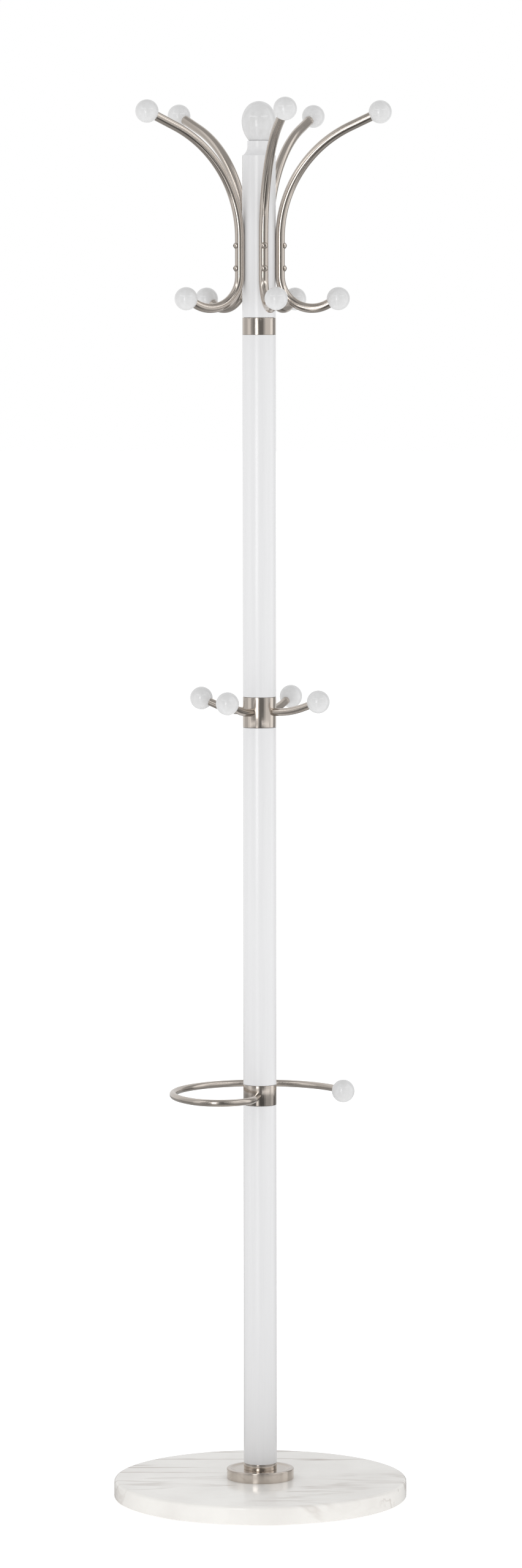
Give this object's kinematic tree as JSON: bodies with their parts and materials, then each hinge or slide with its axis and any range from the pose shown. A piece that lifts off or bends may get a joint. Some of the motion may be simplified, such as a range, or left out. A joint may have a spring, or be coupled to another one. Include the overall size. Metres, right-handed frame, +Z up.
{
  "type": "standing coat rack",
  "caption": "Standing coat rack on a marble disc: a white post with nickel sleeves, an umbrella ring, short hooks and a turning head of double arms, each ending in a white ball.",
  "frame": {"origin": "on the floor, under the middle of the marble disc and on the post's axis", "axes": "+Z up along the post; -Y towards the person who faces the rack; +X to that person's right"},
  "size_m": [0.3799, 0.38, 1.8048],
  "materials": {
    "white_lacquer": "turned hardwood under satin white lacquer",
    "white_ball": "turned wooden ball under gloss white lacquer",
    "satin_nickel": "steel, brushed and plated in satin nickel",
    "white_marble": "polished white marble with faint grey veins",
    "zinc_steel": "zinc plated",
    "brass": "plain turned brass",
    "felt": "pressed grey felt",
    "nylon": "natural nylon"
  },
  "bodies": {
    "stand": {"felt_pads": "felt", "marble_base": "white_marble", "base_washer": "zinc_steel", "base_bolt": "zinc_steel", "base_flange": "satin_nickel", "foot_ferrule": "satin_nickel", "lower_post": "white_lacquer", "middle_post": "white_lacquer", "upper_post": "white_lacquer", "threaded_inserts": "brass", "joint_studs": "zinc_steel", "top_band": "satin_nickel", "thrust_washer": "nylon", "pivot_pin": "zinc_steel", "grip_ring": "zinc_steel"},
    "ring": {"ring_collar": "satin_nickel", "umbrella_ring": "satin_nickel", "ring_ball": "white_ball"},
    "hooks": {"hook_collar": "satin_nickel", "hook_1": "satin_nickel", "hook_2": "satin_nickel", "hook_3": "satin_nickel", "hook_4": "satin_nickel", "hook_ball_1": "white_ball", "hook_ball_2": "white_ball", "hook_ball_3": "white_ball", "hook_ball_4": "white_ball"},
    "head": {"head_post": "white_lacquer", "pivot_socket": "zinc_steel", "finial_knob": "white_lacquer", "finial_screw": "zinc_steel", "arm_screws": "satin_nickel", "arm_1": "satin_nickel", "arm_2": "satin_nickel", "arm_3": "satin_nickel", "arm_4": "satin_nickel", "arm_5": "satin_nickel", "upper_ball_1": "white_ball", "upper_ball_2": "white_ball", "upper_ball_3": "white_ball", "upper_ball_4": "white_ball", "upper_ball_5": "white_ball", "lower_ball_1": "white_ball", "lower_ball_2": "white_ball", "lower_ball_3": "white_ball", "lower_ball_4": "white_ball", "lower_ball_5": "white_ball"}
  },
  "joints": [
    {"name": "umbrella_ring_swivel", "type": "hinge", "parent": "stand", "child": "ring", "pos_m": [0, 0, 0.5278], "axis": [0, 0, 1], "continuous": true},
    {"name": "hook_collar_swivel", "type": "hinge", "parent": "stand", "child": "hooks", "pos_m": [0, 0, 1.0234], "axis": [0, 0, 1], "continuous": true},
    {"name": "head_swivel", "type": "hinge", "parent": "stand", "child": "head", "pos_m": [0, 0, 1.5202], "axis": [0, 0, 1], "continuous": true}
  ]
}
